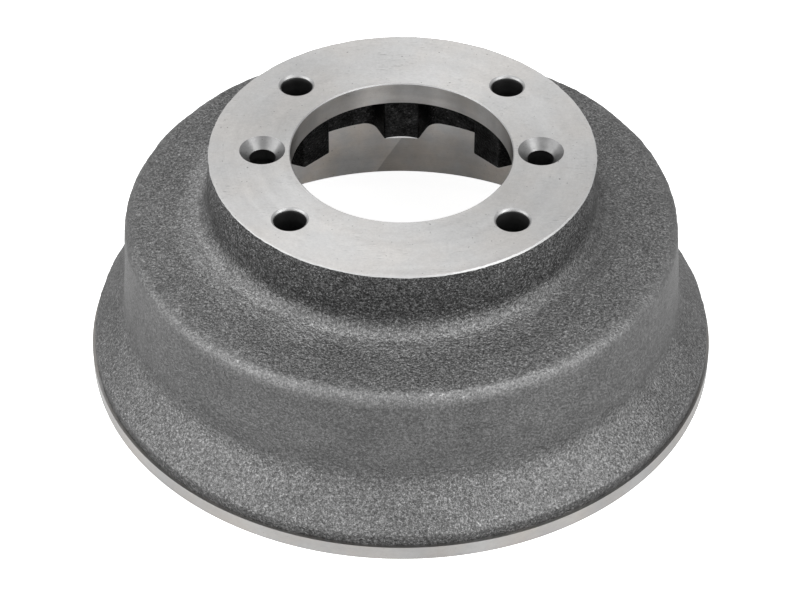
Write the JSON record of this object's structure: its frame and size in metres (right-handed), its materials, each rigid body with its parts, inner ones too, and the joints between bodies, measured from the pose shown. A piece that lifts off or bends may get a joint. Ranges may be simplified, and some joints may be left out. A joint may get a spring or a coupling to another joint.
{
  "type": "brake drum",
  "caption": "Cast iron brake drum with a raised hub, a flat wheel seat drilled for studs and countersunk screws, a lobed hub cavity and a flared open rim.",
  "frame": {"origin": "on the wheel axis, in the plane of the open rim that the drum stands on", "axes": "+Z along the wheel axis, out through the wheel seat; +X through one of the two countersunk retaining screw holes; the stud holes lie at 45 degrees to X and Y"},
  "size_m": [0.2958, 0.2958, 0.1144],
  "materials": {
    "drum_iron": "grainy dark grey as-cast skin, with bright turned wheel seat, bore, braking surface and rim band"
  },
  "bodies": {
    "root": {"brake_drum": "drum_iron"}
  },
  "joints": []
}
